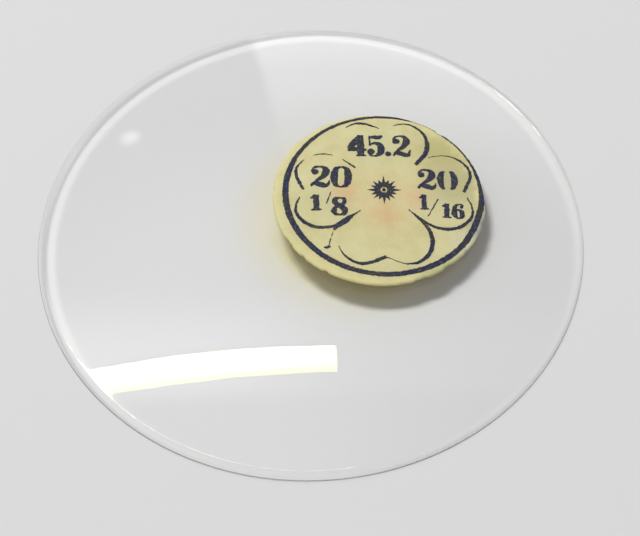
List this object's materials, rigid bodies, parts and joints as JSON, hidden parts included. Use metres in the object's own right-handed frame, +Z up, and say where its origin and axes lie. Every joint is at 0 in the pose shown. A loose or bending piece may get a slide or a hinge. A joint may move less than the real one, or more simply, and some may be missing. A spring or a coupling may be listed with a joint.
{
  "type": "watch crystal",
  "caption": "Thin domed watch glass with a bevelled snap-in rim, and a round printed paper size label gummed on its crown.",
  "frame": {"origin": "centre of the ring-shaped face that the rim rests on", "axes": "+Z up out of the dome, along its axis; +X along the label's printed lines, from left to right; +Y away from the reader of the label"},
  "size_m": [0.0452, 0.0452, 0.0028],
  "materials": {
    "glass": "polished",
    "gum": "dry glossy film",
    "label_paper": "aged, uncoated, yellow",
    "ink": "matte letterpress ink"
  },
  "bodies": {
    "root": {"crystal": "glass", "label_gum": "gum", "label_paper": "label_paper", "printed_border": "ink", "printed_clover": "ink", "printed_star": "ink"}
  },
  "joints": []
}
